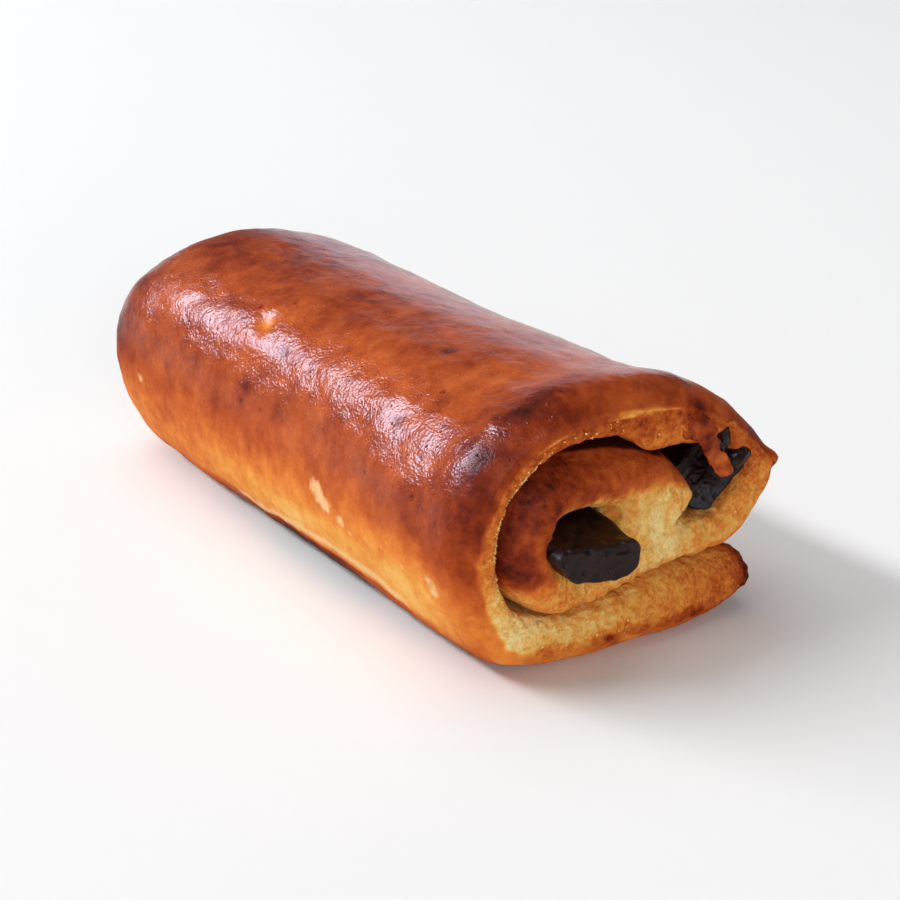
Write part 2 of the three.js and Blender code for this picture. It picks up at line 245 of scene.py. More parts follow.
# %% [markdown]
# ## The sheet, rolled
# At a station the sheet is cut along the roll: a long closed outline, straight on its two skins and
# rounded where the ends curl over. Carrying that outline along the spiral gives the whole turn in
# one grid. A Screw modifier would give an even spiral, but a rolled dough is thick here and thin
# there. Each point knows by its column how far round the end it lies: 0 on the outer skin, 1 where
# the curl meets the cut face, 2 where the face meets the lip, 3 on the inner skin.

# %% Stations along the spiral
TIP_ROUND = 1.4                # the edge of the sheet rounds over in this length
TIP_DROP = 1.2                 # and reaches this much less far along the roll


def stations_of(rows, count):
    """Evenly spaced stations along the spiral, closing at both edges of the sheet: the thickness
    there follows a quarter circle. Returns the columns and the outward direction in (y, z)."""
    fine = through(rows, np.linspace(0, len(rows) - 1, 6001))
    length = np.concatenate([[0], np.cumsum(np.hypot(*np.diff(fine[:, :2], axis=0).T))])
    edge = TIP_ROUND * (1 - np.cos(np.linspace(0.1, np.pi / 2, 7)))
    places = np.concatenate([edge, np.linspace(TIP_ROUND, length[-1] - TIP_ROUND, count)[1:-1],
                             length[-1] - edge[::-1]])
    inward = np.minimum(np.minimum(places, length[-1] - places) / TIP_ROUND, 1)
    swell = np.sqrt(1 - (1 - inward) ** 2)
    slopes = np.gradient(fine[:, :2], length, axis=0)
    columns = [np.interp(places, length, column)[:, None] for column in fine.T]
    slope = np.stack([np.interp(places, length, column) for column in slopes.T], -1)
    slope /= np.linalg.norm(slope, axis=1, keepdims=True)
    y, z, thick, reach, curl, lip = columns
    side = np.stack([-slope[:, 1], slope[:, 0]], -1)
    return y, z, thick * swell[:, None], reach - TIP_DROP * (1 - swell[:, None]), curl, lip, side


print("outer turn, stations:", len(stations_of(OUTER_TURN, 440)[0]))

# %% One end of the sheet in section
# Shares of the curl's and the lip's length by which they drop, and the most that they drop, as
# shares of the thickness
SKIN_CURL, LIP_CURL, MOST_DROP, MOST_RISE = 0.5, 0.8, 0.6, 0.4
FACE_BULGE = 0.35              # the cut face stands out in its middle
NEAR_STEPS, FAR_STEPS = (22, 13, 9), (12, 6, 6)     # steps along curl, face and lip


def end_outline(thick, reach, curl, lip, steps):
    """One end of the sheet in section: (x, height over the middle of the sheet) along an elliptic
    curl, a bulged face and an elliptic lip, and the number that says how far round a point is."""
    half = thick / 2
    drop = np.minimum(SKIN_CURL * curl, MOST_DROP * thick)
    rise = np.minimum(LIP_CURL * lip, MOST_RISE * thick)
    outer, face, inner = (np.linspace(0, 1, n + 1)[None, :] for n in steps)
    a, b = outer * np.pi / 2, inner * np.pi / 2
    face = face[:, 1:-1]
    bulge = FACE_BULGE * np.minimum(thick / 5, 1) * 4 * face * (1 - face)
    x = np.hstack([reach - curl * (1 - np.sin(a)), reach + bulge, reach - lip * (1 - np.cos(b))])
    w = np.hstack([half - drop * (1 - np.cos(a)),
                   half - drop + (rise - thick + drop) * face,
                   rise * (1 - np.sin(b)) - half])
    return x, w, np.hstack([outer, 1 + face, 2 + inner])[0]


print("points round the near end:", len(end_outline(5, 55, 7, 1, NEAR_STEPS)[2]))

# %% One turn of the sheet as a grid
# The far end is rounder and more even than the near one, has sunk a little and tapers to its tip
FAR_CURL, FAR_UNEVENNESS, FAR_SINK = 1.6, 0.5, 0.01
FAR_TAPER, FAR_TAPER_LENGTH, MIDDLE = np.array([0.03, 0.12]), 22.0, np.array([2.0, 14.0])
RIDGE = {"at": 50.0, "height": 1.4, "width": 6.0}
VALLEY = {"at": 0.0, "depth": 1.0, "width": 28.0}
RELIEF_HEIGHTS = (14.0, 30.0)
INNER_SWELLS = [
    # y, z, spread and height of a swelling (or a hollow) on the inside of the near end
    (7.5, 35.5, 4.6, 2.1),
    (20.6, 30.4, 2.1, -2.8),
    (26.2, 25.0, 2.6, -1.6),
]
SWELL_FROM, SWELL_WHOLE = 42.0, 50.0


def rolled_turn(rows, count, skin_steps, inside_steps):
    """The grid of one turn: rows of stations, columns round the outline, and the column numbers."""
    y, z, thick, reach, curl, lip, side = stations_of(rows, count)
    near_x, near_w, near_turn = end_outline(thick, reach, curl, lip, NEAR_STEPS)
    far_reach = FAR_REACH + FAR_UNEVENNESS * (reach - RIM_REACH)
    far_x, far_w, far_turn = end_outline(thick, far_reach, curl * FAR_CURL, lip, FAR_STEPS)
    skin = np.linspace(0, 1, skin_steps)[1:-1]
    inside = (1 - np.cos(np.pi * np.linspace(0, 1, inside_steps)[1:-1])) / 2
    x = np.hstack([-far_x[:, :1] + (near_x[:, :1] + far_x[:, :1]) * skin, near_x,
                   near_x[:, -1:] - (near_x[:, -1:] + far_x[:, -1:]) * inside, -far_x[:, ::-1]])
    w = np.hstack([far_w[:, :1] + 0 * skin, near_w, near_w[:, -1:] + 0 * inside, far_w[:, ::-1]])
    turn = np.concatenate([0 * skin, near_turn, 3 + 0 * inside, far_turn[::-1]])
    ring = RIDGE["height"] * hump(x, RIDGE["at"], RIDGE["width"])
    dip = VALLEY["depth"] * hump(x, VALLEY["at"], VALLEY["width"])
    w = w + (w > 0) * smoothstep(*RELIEF_HEIGHTS, z) * (ring - dip)
    swell = sum(height * np.exp(-((y - at_y) ** 2 + (z - at_z) ** 2) / spread ** 2)
                for at_y, at_z, spread, height in INNER_SWELLS)
    w = w - smoothstep(1, 2, turn) * smoothstep(SWELL_FROM, SWELL_WHOLE, x) * swell
    across = np.stack([y + side[:, :1] * w, z + side[:, 1:] * w], -1)
    far = np.clip(-x / FAR_REACH, 0, 1)
    tip = np.clip((FAR_TAPER_LENGTH - FAR_REACH - x) / FAR_TAPER_LENGTH, 0, 1)
    across = MIDDLE + (across - MIDDLE) * (1 - FAR_TAPER * (tip ** 2)[..., None])
    across[..., 1] *= 1 - FAR_SINK * far ** 2
    return np.concatenate([x[..., None], across], -1), np.broadcast_to(turn, x.shape)


outer_grid, outer_turn = rolled_turn(OUTER_TURN, 440, 112, 30)
print("outer turn:", outer_grid.shape, "grid")

# %% [markdown]
# ## Relief of the skin
# A baked skin is never smooth. It has broad swells where steam lifted it, wrinkles a few
# millimetres apart, and a rim that tore a little where the sheet was cut. Each is one noise of the
# right pitch, added along the surface's normal. Displacement in the material could do it, but it
# is lost when the mesh is exported. Marks that the roll really has, such as the torn spot on top
# and the crack low on the flank, are put at their own places.

# %% Spots, and the flat underside
FLOOR_SOFTNESS = 0.5
DENTS = [
    # x, y, z, radius and depth of a spot that sank in, or stands out where the depth is negative
    (-12.2, -17.9, 35.8, 1.6, 0.9),
    (30.3, -21.2, 33.5, 1.0, 0.12),
    (-2.8, -20.0, 33.8, 0.9, 0.08),
    (47.2, -21.2, 35.5, 1.2, 0.15),
    (15.2, -26.1, 18.1, 1.6, 0.35),
    (55.3, 28.9, 23.6, 1.2, -1.9),
    (55.0, 28.8, 21.0, 2.4, -0.7),
    (38.0, -25.5, 24.0, 8.0, -1.1),
    (8.0, -25.6, 24.0, 8.0, 0.2),
    (-47.0, 1.0, 38.0, 13.0, -1.2),
    (-53.0, -20.0, 24.0, 9.0, -0.8),
]


def spots(points, table):
    """Sum over a table of spots: the last number of each, faded out by exp(-(distance/radius)^2)."""
    total = np.zeros(points.shape[:-1])
    for *at, radius, amount in table:
        total += amount * np.exp(-np.sum((points - np.array(at)) ** 2, axis=-1) / radius ** 2)
    return total


def on_table(points):
    """Flattens what would reach under z = 0: z becomes half of z + sqrt(z^2 + softness^2)."""
    z = points[..., 2]
    lifted = (z + np.sqrt(z * z + FLOOR_SOFTNESS ** 2)) / 2
    return np.concatenate([points[..., :2], lifted[..., None]], -1)


print("dents and bumps:", len(DENTS))


# %% Push the skin in and out
def flaked(points, turn):
    """Where the washed skin ends in a thin flake over the cut: two stretches of the upper rim."""
    y = points[..., 1]
    stretches = hump(y, -12.0, 2.2) + smoothstep(-3.0, -1.0, y) * smoothstep(12.0, 9.0, y)
    return stretches * hump(turn, 1.0, 0.06) * smoothstep(28, 33, points[..., 2])


def skin_relief(points, turn):
    """How far a point moves outwards along its normal, in millimetres."""
    x, y, z = points[..., 0], points[..., 1], points[..., 2]
    skin = 1 - smoothstep(0.75, 1.15, turn)
    washed = waves(points, (0.34, 17, 11), (0.18, 8, 12), (0.12, 3.6, 13, (1.6, 1, 1)), (0.07, 1.8, 14))
    folds = 0.10 * noise(points, 2.4, 18, (7, 1, 1)) * hump(x, 34, 12) * smoothstep(34, 38, z)
    holes = 0.3 * smoothstep(0.3, 0.6, noise(points, 1.9, 21))
    torn = waves(points, (0.22, 3.0, 15), (0.20, 1.4, 16)) - holes
    flap_edge = waves(points, (0.7, 2.3, 19), (0.4, 1.1, 20)) * smoothstep(22, 26, y) * smoothstep(11, 8, z)
    flap_edge *= 0.35 + 0.65 * smoothstep(40, 50, x)
    edge = 0.16 * hump(turn, 1.0, 0.14) * (0.6 + noise(points, 4, 17)) + 0.35 * flaked(points, turn)
    return skin * (washed + folds) + (1 - skin) * torn + edge + flap_edge - spots(points, DENTS)


shell = outer_grid + outward(outer_grid) * skin_relief(outer_grid, outer_turn)[..., None]
shell = on_table(shell)
crust_sheet = mesh_object("crust_sheet", *capped(shell))
print("crust_sheet:", len(crust_sheet.data.polygons), "faces")

# %% [markdown]
# ## How far each place has baked, and where shade is painted
# The colour of a crust says how hot it got. One number carries that, from 0 for pale crumb to 1
# for burnt, and one material turns it into colour. The same number also carries painted shade: under
# the crack and partly along the table on the flank, and on the inner turn at the left, inside the
# roll and deep in the gap under the upper rim. It could be painted on by hand, but heights and places
# in numbers can be changed later. On the roll the top browned most, above all the ring behind the
# rim, the flank turned from mahogany to gold towards the table, and the cut faces stayed pale, apart
# from the edge of the flap, which is thin and caught the heat.

# %% Spots that baked differently
HEAT_SPOTS = [
    # x, y, z, radius and browning of a spot that baked darker, or paler below zero
    (24.8, -8.0, 39.6, 1.3, 0.16), (31.4, -8.6, 39.7, 1.1, 0.14), (9.6, -15.7, 36.9, 1.1, 0.14),
    (-1.6, -3.9, 39.3, 1.0, 0.12), (5.7, -10.2, 38.8, 1.4, 0.08), (30.3, -21.2, 33.5, 1.0, 0.16),
    (-23.6, -17.5, 36.3, 1.8, 0.14), (1.5, -24.7, 25.8, 1.7, 0.10), (34.6, -16.9, 37.0, 2.4, 0.12),
    (-30.2, -22.4, 32.0, 1.9, 0.14), (-2.8, -20.0, 33.8, 1.0, 0.14), (-8.1, -24.2, 27.5, 1.6, 0.14),
    (47.2, -21.2, 35.5, 2.2, 0.12), (50.6, -21.7, 34.9, 2.0, 0.10), (51.6, -22.3, 34.2, 2.6, 0.10),
    (-12.2, -17.9, 35.8, 1.5, -0.42), (57.2, -2.4, 3.7, 0.9, 0.34), (56.6, -1.2, 2.0, 1.0, 0.30),
    (57.4, 0.6, 5.2, 0.6, 0.24), (56.2, -4.0, 1.6, 3.0, 0.08), (55.6, -13.8, 4.8, 2.8, 0.18),
    (56.0, 12.0, 1.8, 2.2, 0.12), (56.3, 26.6, 4.0, 2.8, 0.20), (56.0, 13.2, 34.2, 2.4, 0.26),
    (56.0, 25.5, 28.0, 2.6, 0.12), (57.0, 20.0, 6.5, 2.2, 0.10), (57.2, 14.5, 4.0, 1.5, 0.12),
    (51.5, -16.5, 38.0, 4.5, 0.11), (52.0, -11.0, 39.5, 3.5, 0.08),
]
BARE_SPOTS = [
    # x, y, z, radius and strength of a spot where the skin flaked off and pale crumb shows
    (14.6, -26.1, 18.6, 1.5, 0.9), (16.4, -26.1, 17.0, 1.6, 0.9), (18.4, -26.1, 16.4, 1.2, 0.8),
    (22.3, -26.1, 15.6, 1.1, 0.9), (24.6, -26.0, 14.5, 0.9, 0.6), (27.5, -26.0, 13.0, 0.8, 0.5),
    (33.7, -26.2, 16.2, 0.9, 0.6), (38.6, -26.1, 15.2, 0.9, 0.6), (36.0, -26.1, 16.0, 0.7, 0.5),
    (45.0, -25.9, 15.6, 1.1, 0.7), (46.4, -25.7, 14.0, 1.2, 0.9), (43.4, -25.7, 15.9, 0.8, 0.5),
    (-43.1, -26.1, 18.2, 1.3, 0.7), (-12.2, -17.9, 36.0, 0.7, 0.35),
]
DULL_SPOTS = [
    # the same for spots where the egg wash dried dull
    (-12.2, -17.9, 35.8, 1.5, 1.0), (-2.8, -20.0, 33.8, 0.9, 0.6), (30.3, -21.2, 33.5, 1.0, 0.6),
]
print("spots:", len(HEAT_SPOTS), "browned,", len(BARE_SPOTS), "bare and", len(DULL_SPOTS), "dull")

# %% Browning of the skin, with painted shade low on the flank
SKIN_HEIGHTS = [0, 3, 6, 12, 16, 20, 26, 33, 37, 39.5]
SKIN_BROWNING = [0.70, 0.60, 0.40, 0.41, 0.49, 0.59, 0.66, 0.67, 0.64, 0.71]
CRACK_PLACES, CRACK_HEIGHTS = [-13, -7, 1, 16, 29, 36], [6.3, 6.4, 7.5, 8.2, 8.3, 6.8]


def crack_height(x):
    """Height of the crack low on the flank, by place along the roll."""
    return np.interp(x, CRACK_PLACES, CRACK_HEIGHTS)


def skin_bake(p):
    """Browning of the outer skin, with painted shade low on the flank: by height, then place by place,
    each amount faded at the edges of its place, then in patches."""
    x, y, z = p[..., 0], p[..., 1], p[..., 2]
    left = smoothstep(4, -12, y)
    bake = np.interp(z, SKIN_HEIGHTS, SKIN_BROWNING)
    # darker along the table, partly browning of the underside and partly painted shade where the flank
    #     # meets the floor; a painted shadow under the crack; and the gold band over it
    bake += 0.46 * hump(x, 6, 28) * smoothstep(7.2, 5.6, z) * left
    bake += 0.22 * hump(z, crack_height(x) - 1.9, 0.7) * hump(x, 24, 12) * left
    bake -= 0.17 * hump(x, 22, 28) * hump(z, 10, 6.5) * left
    # paler on top and on the flank before the ring, darker on the ring and beside it
    bake -= 0.05 * hump(x, 38, 9) * smoothstep(35.5, 39, z)
    bake -= 0.08 * hump(x, 38, 7) * hump(z, 17, 4.5) * left
    bake += 0.06 * hump(x, 40, 6) * hump(z, 25, 4) * left
    bake += smoothstep(42, 51, x) * (0.06 + 0.10 * left * hump(z, 28, 6)) * smoothstep(14, 20, z)
    bake += 0.13 * smoothstep(43, 49, x) * hump(z, 14, 8) * left
    # the far half, the far end and the back edge of the flap
    bake += 0.06 * smoothstep(-8, -35, x) * smoothstep(9, 20, z)
    bake += 0.11 * smoothstep(-42, -50, x) * hump(z, 24, 8) * left
    bake += 0.28 * smoothstep(20, 25, y) * smoothstep(12, 8, z) * smoothstep(54, 48, x)
    # the base at the near end, darker towards the tip of the flap
    front = smoothstep(50, 54, x) * smoothstep(9, 6, z)
    heat = 0.40 + 0.07 * smoothstep(0, 9, y) + 0.22 * smoothstep(11, 24, y) + 0.08 * noise(p, 3.0, 46)
    bake += front * (heat - bake)
    return bake + waves(p, (0.075, 13, 41), (0.05, 5, 42), (0.045, 2.4, 43, (1, 1, 2.4)))


def bare_skin(p):
    """Where pale crumb shows through: the flaked spots and the crack, broken up by noise."""
    x, y, z = p[..., 0], p[..., 1], p[..., 2]
    crack = hump(z, crack_height(x) + 0.6 * noise(p, 3, 44), 1.05)
    crack *= smoothstep(-17, -12, x) * smoothstep(40, 34, x) * (y < -15)
    return spots(p, BARE_SPOTS) + 0.85 * crack * smoothstep(-1.2, -0.2, noise(p, 5, 45, (2, 1, 1)))


x, y, z = shell[..., 0], shell[..., 1], shell[..., 2]
outer_bare = bare_skin(shell)
print("bare share of the skin:", (outer_bare > 0.5).mean().round(4))

# %% Browning of the cut end
RIM_HEIGHTS, RIM_BROWNING = [8, 12, 20, 30, 37], [0.16, 0.19, 0.43, 0.53, 0.60]


def face_bake(p, turn):
    """Browning of the cut end: it rises with height on the rim, and along the base towards the
    burnt edge of the flap."""
    y, z = p[..., 1], p[..., 2]
    rim = np.interp(z, RIM_HEIGHTS, RIM_BROWNING)
    rim -= 0.10 * hump(turn, 2.0, 0.5) * hump(y, 10.5, 4) * smoothstep(24, 30, z)
    base = 0.08 + 0.22 * smoothstep(-20, 4, y) + 0.14 * smoothstep(7, 18, y) + 0.34 * smoothstep(20, 27, y)
    base += 0.22 * smoothstep(3.4, 1.6, z) * smoothstep(10, 18, y)
    base += 0.26 * smoothstep(5.6, 3.2, z + 1.1 * noise(p, 3.5, 53)) * smoothstep(22, 12, y)
    low = (1 - smoothstep(8.5, 12, z)) * smoothstep(-25, -19, y)
    return rim + low * (base - rim) + waves(p, (0.07, 6, 51), (0.06, 2.2, 52))


cut_from = 0.14 * hump(shell[..., 2], 19.5, 6) * smoothstep(-14, -18, shell[..., 1])
outer_skin = 1 - smoothstep(0.86, 1.02, outer_turn + cut_from + 0.10 * noise(shell, 2.5, 55))
outer_bake = outer_skin * skin_bake(shell) + (1 - outer_skin) * face_bake(shell, outer_turn)
outer_bake += spots(shell, HEAT_SPOTS) - 0.34 * flaked(shell, outer_turn)
print("browning from", outer_bake.min().round(2), "to", outer_bake.max().round(2))


# %% Egg wash, and the finished outer turn
def paint(piece, **values):
    """Stores one number a point under each name, for the materials to read."""
    for name, value in values.items():
        layer = piece.data.attributes.new(name, "FLOAT", "POINT")
        layer.data.foreach_set("value", np.clip(value, 0, 1).astype(np.float32).ravel())


def finish_piece(piece, slot, *nodes):
    """Hangs a piece on the body and hides the solids that it stands for. Its slot is not used."""
    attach(piece, "root")
    if nodes:
        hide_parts(*nodes)
    print(piece.name, len(piece.data.vertices), "points")


outer_bare *= outer_skin
outer_wash = outer_skin * (0.12 + 0.88 * smoothstep(19, 29, z))
outer_wash *= 1 - 0.55 * hump(y, -5, 8) * smoothstep(36, 38.5, z)
outer_wash *= 1 - 0.75 * smoothstep(48, 51, x) * smoothstep(38, 36.5, z)
outer_wash *= 1 - 0.8 * np.clip(outer_bare + spots(shell, DULL_SPOTS), 0, 1)
paint(crust_sheet, bake=outer_bake, wash=outer_wash, bare=outer_bare, crumb=1 - outer_skin)
finish_piece(crust_sheet, "crust", "dough_roll")

# %% [markdown]
# ## The inner turn and the crumb
# Inside the roll the layers have baked into one, so the inner turn, the thick pad of crumb at its
# end and the core between the two ends are drawn as three closed shapes and melted together. A
# Boolean union would leave sharp joins. A voxel remesh keeps only the outside of the union and
# rounds the joins, as dough does.

# %% The three inner shapes
HEART_STEPS, ROUND_STEPS = 72, 7
CORE_ROUND = (2.0, 1.0)


def loft(outline, far, near, length, inset):
    """A closed outline carried along x, both ends rounded over by length and inset along a quarter
    ellipse: grid of (x, y, z)."""
    middle = outline.mean(0)
    turn = np.linspace(0, np.pi / 2, ROUND_STEPS)
    far_x, near_x = far + length * (1 - np.cos(turn)), near - length * (1 - np.cos(turn))
    cut = inset * (1 - np.sin(turn))
    x, cut = np.concatenate([far_x, near_x[::-1]]), np.concatenate([cut, cut[::-1]])
    arm = outline - middle
    scale = 1 - cut[:, None] / np.linalg.norm(arm, axis=1)
    across = middle + arm * scale[..., None]
    return np.concatenate([np.broadcast_to(x[:, None, None], scale.shape + (1,)), across], -1)


inner_grid, _ = rolled_turn(INNER_TURN, 300, 60, 30)
angle = np.arange(HEART_STEPS) / HEART_STEPS * 2 * np.pi
oval = np.array(HEART["at"]) + np.array(HEART["half"]) * np.stack([np.cos(angle), np.sin(angle)], -1)
heart_grid = loft(oval, HEART["far"], HEART["near"], *HEART["round"])
core_line = stations_of(OUTER_TURN, 120)
core_outline = np.hstack(core_line[:2])[14:-6]
core_grid = loft(core_outline, -CORE_REACH, CORE_REACH, *CORE_ROUND)
print("inner turn:", inner_grid.shape, "grid")

# %% Melt them into one
VOXEL = 0.49                   # side of a face, in millimetres
RELAX_ROUNDS = 5


def melted(name, grids, voxel):
    """The union of closed grids as one mesh of voxel-sized faces."""
    points, faces = [], []
    for grid in grids:
        new_points, new_faces = capped(grid)
        start = sum(map(len, points))
        faces += [[start + corner for corner in face] for face in new_faces]
        points.append(new_points)
    rough = mesh_object(name + "_rough", np.concatenate(points), faces)
    remesh = rough.modifiers.new("melt", "REMESH")
    remesh.mode, remesh.voxel_size, remesh.use_smooth_shade = "VOXEL", voxel * MM, True
    solid = bpy.data.meshes.new_from_object(rough.evaluated_get(bpy.context.evaluated_depsgraph_get()))
    bpy.data.objects.remove(rough)
    piece = bpy.data.objects.new(name, solid)
    bpy.context.scene.collection.objects.link(piece)
    return piece


def points_of(piece):
    """All points of a piece, back in drawing millimetres."""
    flat = np.empty(len(piece.data.vertices) * 3)
    piece.data.vertices.foreach_get("co", flat)
    return flat.reshape(-1, 3) / MM + ORIGIN


def put_points(piece, points):
    """Moves all points of a piece to places in drawing millimetres."""
    piece.data.vertices.foreach_set("co", ((points - ORIGIN) * MM).ravel())
    piece.data.update()


def relax(piece, rounds, strength=0.5):
    """Moves each point towards the mean of its neighbours, and every other round a little back,
    which rounds creases without shrinking the piece."""
    edges = np.empty(len(piece.data.edges) * 2, int)
    piece.data.edges.foreach_get("vertices", edges)
    a, b = edges.reshape(-1, 2).T
    points = points_of(piece)
    size = len(points)
    count = np.bincount(a, minlength=size) + np.bincount(b, minlength=size)
    for step in range(rounds * 2):
        sums = [np.bincount(a, points[b, k], size) + np.bincount(b, points[a, k], size) for k in range(3)]
        pull = np.stack(sums, -1) / count[:, None] - points
        points = points + pull * (strength if step % 2 == 0 else -1.02 * strength)
    put_points(piece, points)


heart = melted("heart_of_dough", [inner_grid, heart_grid, core_grid], VOXEL)
relax(heart, RELAX_ROUNDS)
print("heart_of_dough:", len(heart.data.polygons), "faces")

# %% [markdown]
# ## The skin and the crumb of the inner turn
# The inner turn browned on top and at the left, where the heat came in between the turns, and
# stayed pale crumb where it was cut. At the left, inside the roll and deep in the gap under the
# upper rim, shade is painted into the same number. Round the bar the dough is pinched in and
# paler. A second material could do it, but browning by numbers lets one finish run from the crust
# to the crumb.

# %% Relief of the inner piece
# Height at which the brown top begins, by place across the end
BROWN_FROM = ([-14, -9, -4, 4, 9, 13], [25.0, 26.3, 26.5, 25.3, 24.6, 22.6])
PINCH, PINCH_WIDTH, PINCHED_FROM = 0.8, 1.6, 46


def normals_of(piece):
    """The outward direction at each point of a piece."""
    flat = np.empty(len(piece.data.vertices) * 3)
    piece.data.vertex_normals.foreach_get("vector", flat)
    return flat.reshape(-1, 3)


def beside(points, outline):
    """Distance in (y, z) from a convex outline, below zero inside it: the largest of the distances
    from the lines through its sides."""
    ahead = np.roll(outline, -1, 0) - outline
    across = np.stack([ahead[:, 1], -ahead[:, 0]], -1)
    across /= np.linalg.norm(across, axis=1, keepdims=True)
    return ((points[:, None, 1:] - outline) * across).sum(-1).max(1)


place, normal = points_of(heart), normals_of(heart)
bar_gap = beside(place, bar_outline(INNER_BAR))
pinch = PINCH * np.clip(1 - bar_gap / PINCH_WIDTH, 0, 1) ** 2 * (np.abs(place[:, 0]) > PINCHED_FROM)
y, z = place[:, 1], place[:, 2]
brown_from = np.interp(y, *BROWN_FROM)
crumb_side = smoothstep(1.0, -1.5, z - brown_from) * smoothstep(-14, -9, y)
cells = 0.50 * smoothstep(0.25, 0.50, noise(place, 2.0, 68))
lift = waves(place, (0.20, 7, 61), (0.10, 3, 62))
lift += crumb_side * (waves(place, (0.30, 1.5, 63), (0.24, 3.2, 64)) - cells)
place = place + normal * lift[:, None]
place[:, 0] -= np.sign(place[:, 0]) * pinch
put_points(heart, place)
print("the surface moves by up to", np.abs(lift).max().round(2), "mm")

# %% Browning of the inner piece, and painted shade
# How deep the painted shade of the gap begins, by place across the end
SHADED_FROM = ([-12, -7, -3, 2, 8], [49.5, 51.2, 52.0, 52.6, 53.2])

edge = waves(place, (1.3, 4.5, 65), (0.5, 1.4, 69))
brown_top = smoothstep(-1.6, 1.4, z - brown_from + edge)
brown_left = smoothstep(-11.0, -14.5, y + edge) * smoothstep(12.3, 19.0, z + edge)
brown = np.maximum(brown_top, brown_left)
# palest between the bars, browner low down, darkest at the left (browning and painted shade from
# # the rim), pale again round the bar
inner_bake = 0.30 - 0.24 * np.exp(-((y - 8) ** 2 + (z - 17.5) ** 2) / 6.0 ** 2)
inner_bake += waves(place, (0.05, 4, 66), (0.07, 1.6, 67)) + 0.10 * smoothstep(13, 10, z)
inner_bake += brown * (0.35 + 0.20 * smoothstep(2, -16, y))
inner_bake -= 0.24 * brown * hump(bar_gap, 0.5, 1.7)
# painted shade: dark inside the roll, and above all in the gap under the upper rim
inner_bake += 0.35 * smoothstep(52, 46, np.abs(place[:, 0]))
inner_bake += 0.5 * smoothstep(0.4, -0.6, place[:, 0] - np.interp(y, *SHADED_FROM)) * smoothstep(27, 29, z)
paint(heart, bake=inner_bake, wash=0.25 * brown, bare=0 * brown, crumb=1 - 0.6 * brown)
finish_piece(heart, "crust", "dough_roll")

# %% [markdown]
# ## Bars of baking chocolate
# A bar is a rounded rectangle carried along the roll. Baking chocolate is made to keep its shape in
# the oven, so the edges are still there, but the ends have pits, chips and soft corners. A bevelled
# cube would do for a fresh bar. A grid of rings can also lean, sag and wear. The outer bar broke
# off inside the roll.

# %% Rings of a bar
BAR_SIDES, CAP_RINGS, SIDE_RINGS = 220, 34, 150
BAR_ROUND, CORNER_ROUND = 0.7, 0.55
LEAN_LENGTH, SAG_LENGTH = 12, 9


def softened(outline, radius, count):
    """A closed outline at even steps, each point the mean of those near it by a bell curve as wide
    as the corners are round."""
    closed = np.vstack([outline, outline[:1]])
    run = np.concatenate([[0], np.cumsum(np.linalg.norm(np.diff(closed, axis=0), axis=1))])
    at = np.arange(count) * run[-1] / count
    even = np.stack([np.interp(at, run, column) for column in closed.T], -1)
    reach = np.arange(-12, 13)
    weight = np.exp(-((reach * run[-1] / count / radius) ** 2))
    return sum(np.roll(even, shift, 0) * w for shift, w in zip(reach, weight)) / weight.sum()


def bar_grid(bar, lean=None, sag=None):
    """Rings from the middle of the near end, over its rounded edge, along the bar and to the middle
    of the far end. lean gives how far each point of the near end stands out, and sag how far it
    hangs down."""
    outline = softened(bar_outline(bar), CORNER_ROUND, BAR_SIDES)
    middle = outline.mean(0)
    turn = np.linspace(0, np.pi / 2, ROUND_STEPS)
    cap = np.sqrt(np.linspace(0.0005, 1, CAP_RINGS))[:-1]
    over = BAR_ROUND * (1 - np.cos(turn))
    along = (1 - np.cos(np.linspace(0, np.pi, SIDE_RINGS)[1:-1])) / 2
    near, far = bar["near"], bar["far"]
    x = np.concatenate([near + 0 * cap, near - over,
                        near - BAR_ROUND + (far - near + 2 * BAR_ROUND) * along,
                        far + over[::-1], far + 0 * cap])
    share = np.concatenate([cap, 1 + 0 * turn, 1 + 0 * along, 1 + 0 * turn, cap[::-1]])
    inset = BAR_ROUND * (1 - np.sin(turn))
    cut = np.concatenate([BAR_ROUND + 0 * cap, inset, 0 * along, inset[::-1], BAR_ROUND + 0 * cap])
    arm = outline - middle
    scale = share[:, None] * (1 - cut[:, None] / np.linalg.norm(arm, axis=1))
    across = middle + arm * scale[..., None]
    x = np.broadcast_to(x[:, None], scale.shape)
    if lean is not None:
        x = x + lean(across - bar["at"]) * smoothstep(near - LEAN_LENGTH, near - 2, x)
    if sag is not None:
        across[..., 1] -= sag(across - bar["at"]) * smoothstep(near - SAG_LENGTH, near - 1, x)
    return np.concatenate([x[..., None], across], -1)[:, ::-1]


print("rings and points of a bar:", bar_grid(INNER_BAR).shape[:2])

# %% How the ends broke and wore
BROKEN_SLOPE, BROKEN_FROM, BROKEN_CHIP = 1.0, -0.6, 2.5


def broken_end(offset):
    """The outer bar broke at a slant: its lower side stands out by the slope times the depth, and
    its upper edge chipped off."""
    turn = np.radians(OUTER_BAR["turn"])
    lower = offset[..., 0] * np.sin(turn) - offset[..., 1] * np.cos(turn)
    return BROKEN_SLOPE * np.maximum(0, lower + BROKEN_FROM) - BROKEN_CHIP * smoothstep(0.6, -1.4, lower)


def worn_edge(offset):
    """The free end of the inner bar: its upper edge wore down, and its right side hangs lower."""
    upper = smoothstep(-3.1, 3.1, offset[..., 1])
    hang = 1.1 * smoothstep(-5.0, 3.0, offset[..., 0]) + 0.8 * smoothstep(3.0, 7.0, offset[..., 0])
    return 1.2 * upper + (1 - upper) * hang


def chocolate_relief(points, seed):
    """Soft dents, then pits where a fine noise is high."""
    dents = waves(points, (0.30, 5, seed), (0.14, 2.1, seed + 1), (0.04, 0.7, seed + 3))
    return dents - 0.38 * smoothstep(0.34, 0.62, noise(points, 1.5, seed + 2))


slant = broken_end(bar_outline(OUTER_BAR) - OUTER_BAR["at"])
print("the outer bar's end stands out by up to", slant.max().round(1), "mm")

